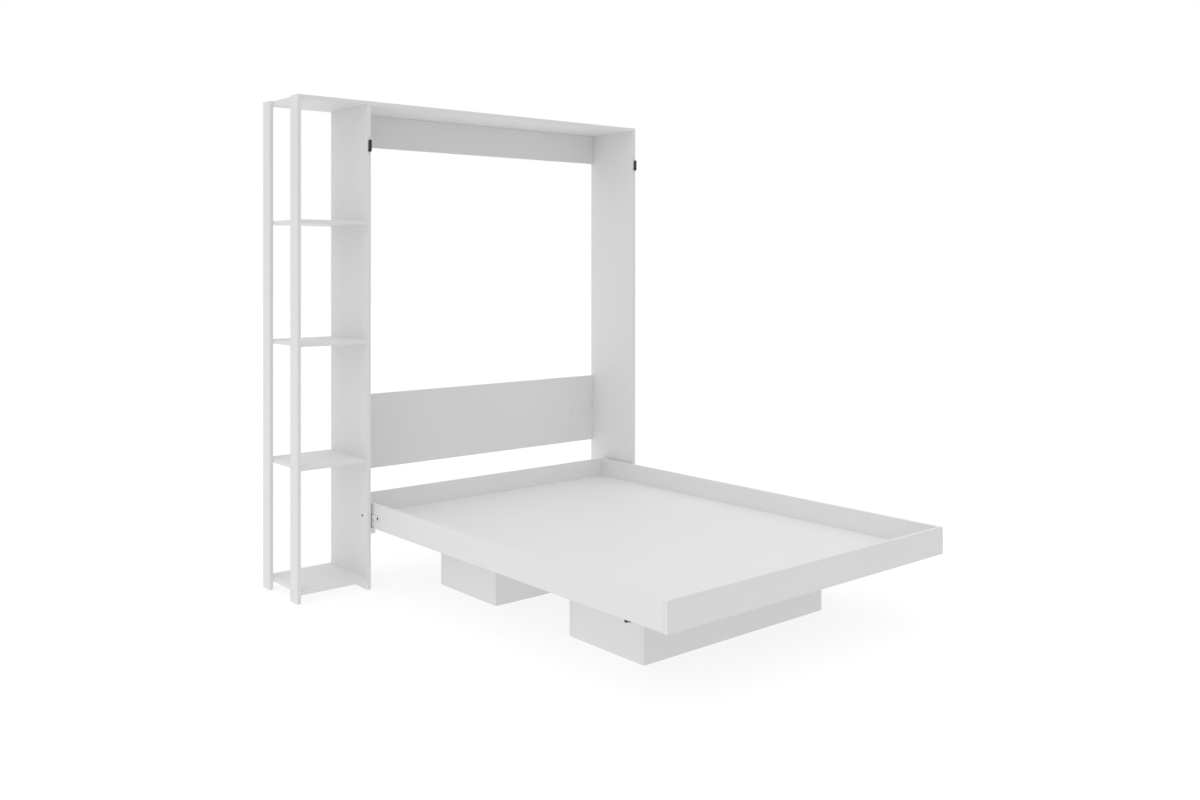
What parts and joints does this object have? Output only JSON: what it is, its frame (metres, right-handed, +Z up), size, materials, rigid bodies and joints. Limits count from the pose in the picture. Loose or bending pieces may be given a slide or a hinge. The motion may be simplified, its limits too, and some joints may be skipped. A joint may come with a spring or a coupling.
{
  "type": "murphy wall bed",
  "caption": "White folding wall bed: a shallow bay with side shelves and a mattress tray on box legs that hinges up into it, held shut by turn buttons.",
  "frame": {"origin": "on the floor at the middle of the footprint with the bed down", "axes": "+Z up, +X to the right along the wall, +Y towards the wall; the bed's foot is at -Y"},
  "size_m": [1.777, 2.056, 1.9958],
  "materials": {
    "white_board": "white melamine laminate on chipboard, satin, edge banded",
    "zinc_steel": "bright zinc plated steel",
    "white_steel": "white powder coated steel plate",
    "cast_zinc": "die cast zinc alloy",
    "white_plastic": "white plastic",
    "natural_plastic": "uncoloured nylon",
    "beech": "bare beech dowel",
    "black_plastic": "black moulded plastic, satin",
    "black_steel": "blackened steel fastener"
  },
  "bodies": {
    "cabinet": {"left_front_post": "white_board", "left_rear_post": "white_board", "middle_panel": "white_board", "right_panel": "white_board", "top_panel": "white_board", "bottom_shelf": "white_board", "lower_shelf": "white_board", "middle_shelf": "white_board", "upper_shelf": "white_board", "top_back_rail": "white_board", "middle_back_rail": "white_board", "shelf_screws": "zinc_steel", "top_screws": "zinc_steel", "back_rail_screws": "zinc_steel", "screw_caps": "white_plastic", "cabinet_dowels": "beech", "cabinet_glides": "natural_plastic", "left_cabinet_plate": "white_steel", "right_cabinet_plate": "white_steel", "cabinet_plate_bolts": "black_steel", "cabinet_plate_nuts": "black_steel", "cabinet_plate_screws": "zinc_steel", "pivot_pins": "zinc_steel", "pivot_washers": "natural_plastic", "button_screws": "black_steel", "button_washers": "natural_plastic"},
    "bed": {"left_side_rail": "white_board", "right_side_rail": "white_board", "foot_rail": "white_board", "head_rail": "white_board", "tray_base": "white_board", "tray_cams": "cast_zinc", "cam_covers": "white_plastic", "tray_cam_bolts": "zinc_steel", "tray_dowels": "beech", "foot_leg_front": "white_board", "foot_leg_back": "white_board", "foot_leg_left": "white_board", "foot_leg_right": "white_board", "foot_leg_bottom": "white_board", "head_leg_front": "white_board", "head_leg_back": "white_board", "head_leg_left": "white_board", "head_leg_right": "white_board", "head_leg_bottom": "white_board", "leg_box_cams": "cast_zinc", "leg_box_cam_bolts": "zinc_steel", "leg_box_dowels": "beech", "leg_brackets": "zinc_steel", "leg_glides": "natural_plastic", "left_bed_arm": "white_steel", "right_bed_arm": "white_steel", "arm_bolts": "black_steel", "arm_inserts": "zinc_steel", "pivot_bushes": "natural_plastic", "left_keeper": "black_plastic", "right_keeper": "black_plastic", "keeper_screws": "zinc_steel"},
    "left_turn_button": {"left_turn_button": "black_plastic"},
    "right_turn_button": {"right_turn_button": "black_plastic"}
  },
  "joints": [
    {"name": "bed_fold", "type": "hinge", "parent": "cabinet", "child": "bed", "pos_m": [0.1525, 0.6995, 0.2425], "axis": [-1, 0, 0], "range_deg": [0, 90]},
    {"name": "left_button_turn", "type": "hinge", "parent": "cabinet", "child": "left_turn_button", "pos_m": [-0.575, 0.7, 1.7945], "axis": [0, 1, 0], "range_deg": [0, 90]},
    {"name": "right_button_turn", "type": "hinge", "parent": "cabinet", "child": "right_turn_button", "pos_m": [0.88, 0.7, 1.7945], "axis": [0, -1, 0], "range_deg": [0, 90]}
  ]
}
